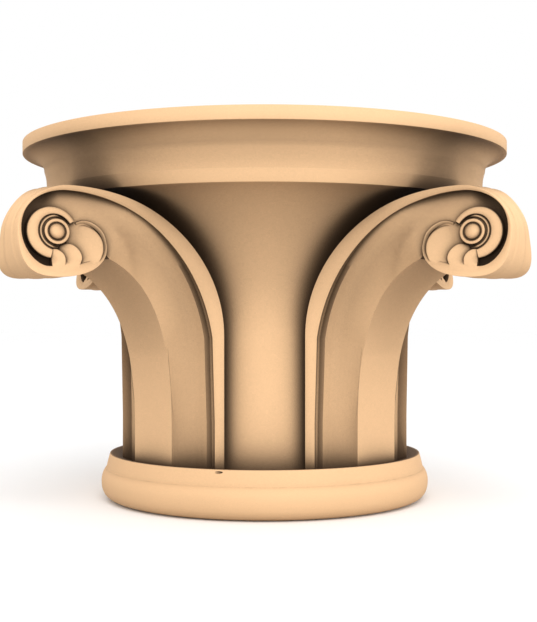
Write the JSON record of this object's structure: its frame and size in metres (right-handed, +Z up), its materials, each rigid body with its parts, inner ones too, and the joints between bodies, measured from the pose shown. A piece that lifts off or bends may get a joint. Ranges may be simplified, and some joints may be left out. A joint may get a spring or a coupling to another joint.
{
  "type": "ionic column capital",
  "caption": "Round capital for a column: a flared bell under a moulded abacus, with scrolls curling out on its diagonals above a rounded neck ring.",
  "frame": {"origin": "centre of the flat underside, where the capital sits on the column's shaft", "axes": "+Z up along the column's axis, +X and +Y midway between neighbouring scrolls"},
  "size_m": [0.421, 0.421, 0.3068],
  "materials": {
    "stone": "fine cast stone, smooth and matt, pale warm buff"
  },
  "bodies": {
    "root": {"capital": "stone"}
  },
  "joints": []
}
